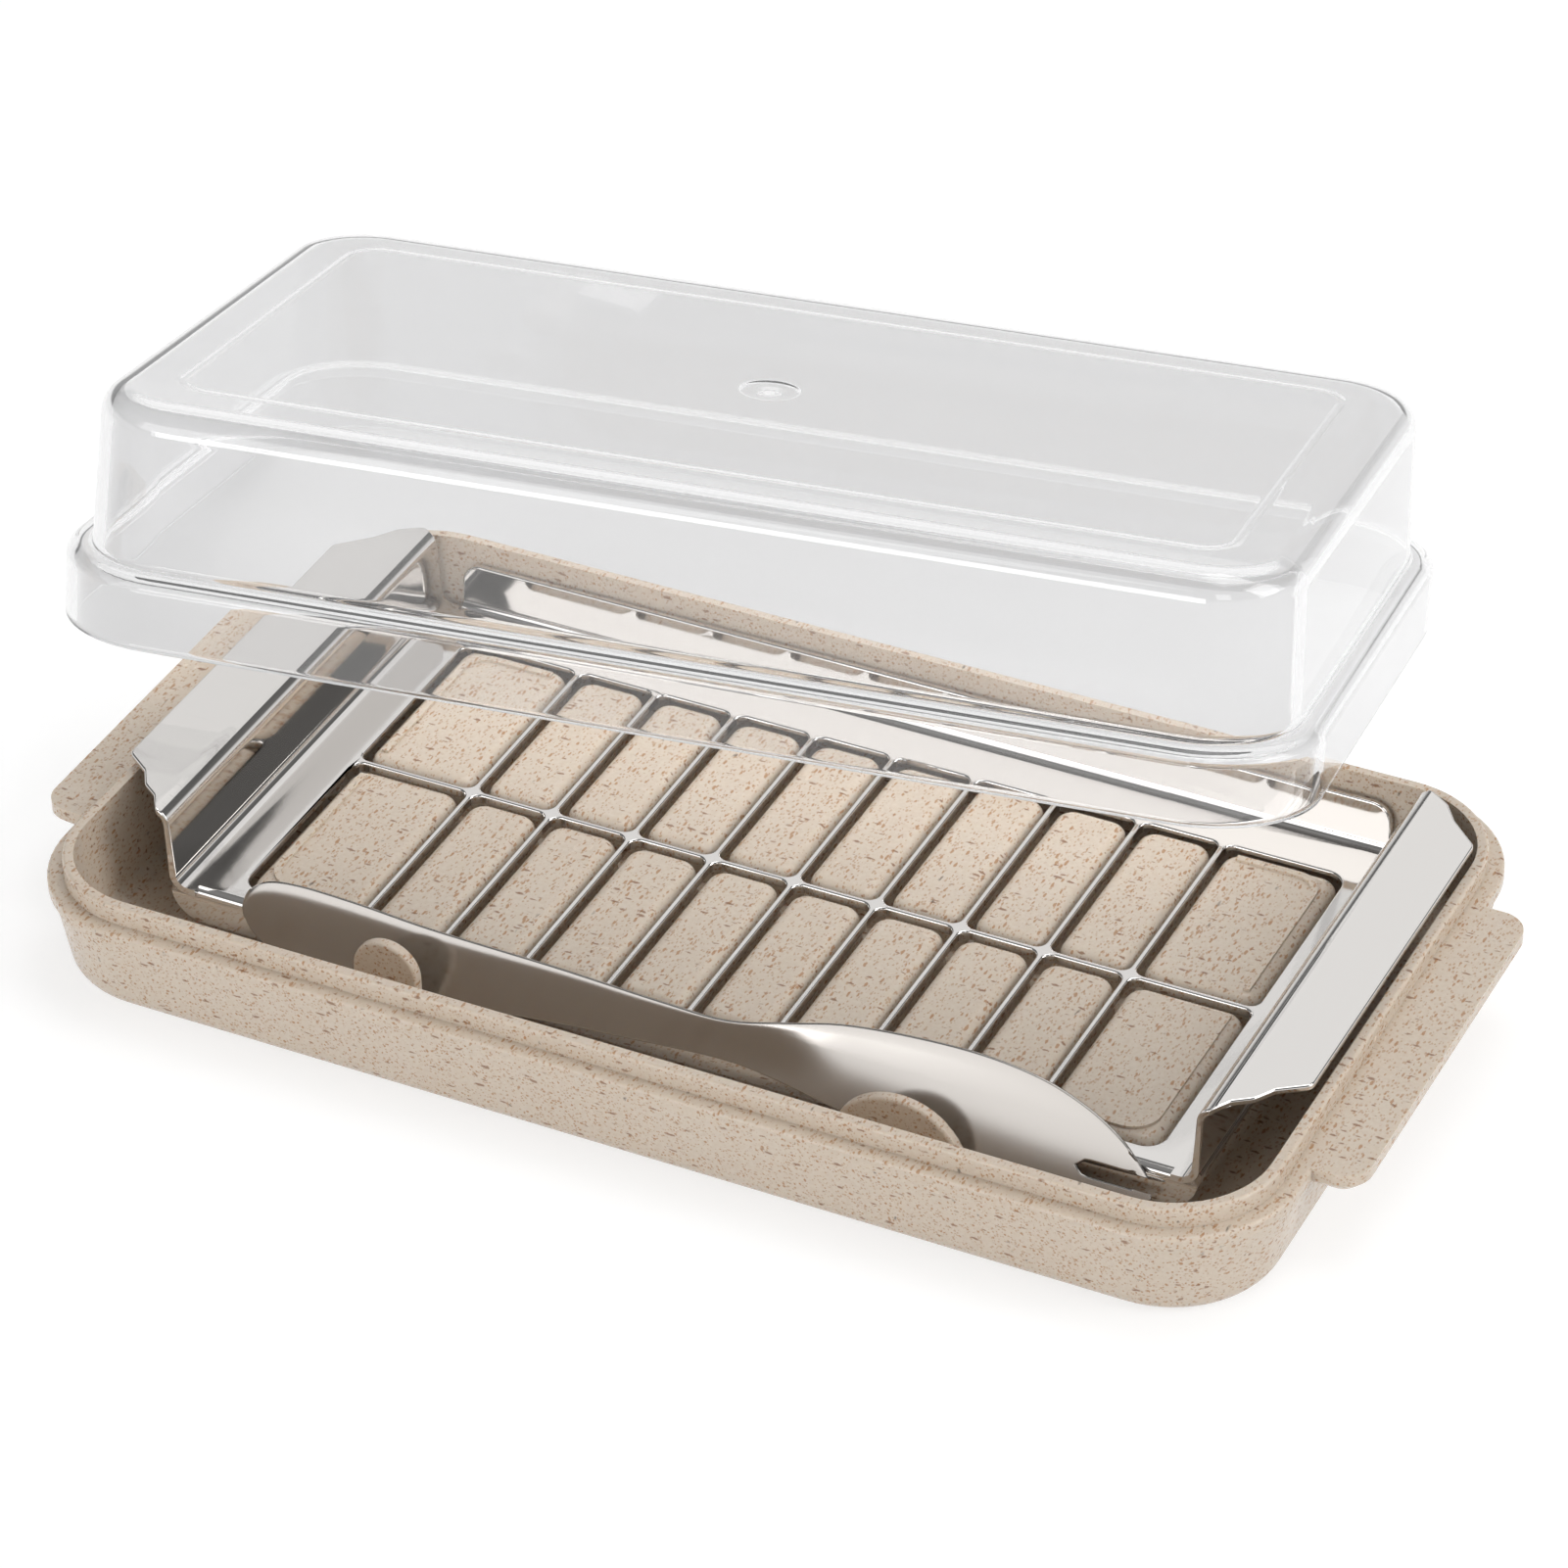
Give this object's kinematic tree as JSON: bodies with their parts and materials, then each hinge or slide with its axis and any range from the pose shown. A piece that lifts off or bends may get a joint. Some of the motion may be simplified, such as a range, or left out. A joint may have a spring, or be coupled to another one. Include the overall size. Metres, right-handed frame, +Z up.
{
  "type": "butter dish with portion cutter",
  "caption": "Oblong butter dish with a raised block floor, a lift-out steel grid that cuts butter into portions, a spreading knife and a clear lid.",
  "frame": {"origin": "middle of the tray's underside, where it stands on the table", "axes": "+X along the dish, +Y to the back, where the lid leans, +Z up"},
  "size_m": [0.2225, 0.1704, 0.0572],
  "materials": {
    "speckled_plastic": "satin moulded, with fine brown fibre specks",
    "cutter_steel": "bright stamped sheet, sheared bar edges",
    "knife_steel": "polished",
    "clear_plastic": "clear, polished"
  },
  "bodies": {
    "tray": {"tray": "speckled_plastic"},
    "cutter": {"cutter": "cutter_steel"},
    "butter_knife": {"butter_knife": "knife_steel"},
    "lid": {"lid": "clear_plastic"}
  },
  "joints": [
    {"name": "cutter_lift", "type": "slide", "parent": "tray", "child": "cutter", "axis": [0, 0, 1], "range_m": [0, 0.045]},
    {"name": "knife_lift", "type": "slide", "parent": "cutter", "child": "butter_knife", "axis": [0, 0, 1], "range_m": [0, 0.04]},
    {"name": "lid_lift", "type": "slide", "parent": "cutter", "child": "lid", "axis": [0, 0, 1], "range_m": [0, 0.05]}
  ]
}
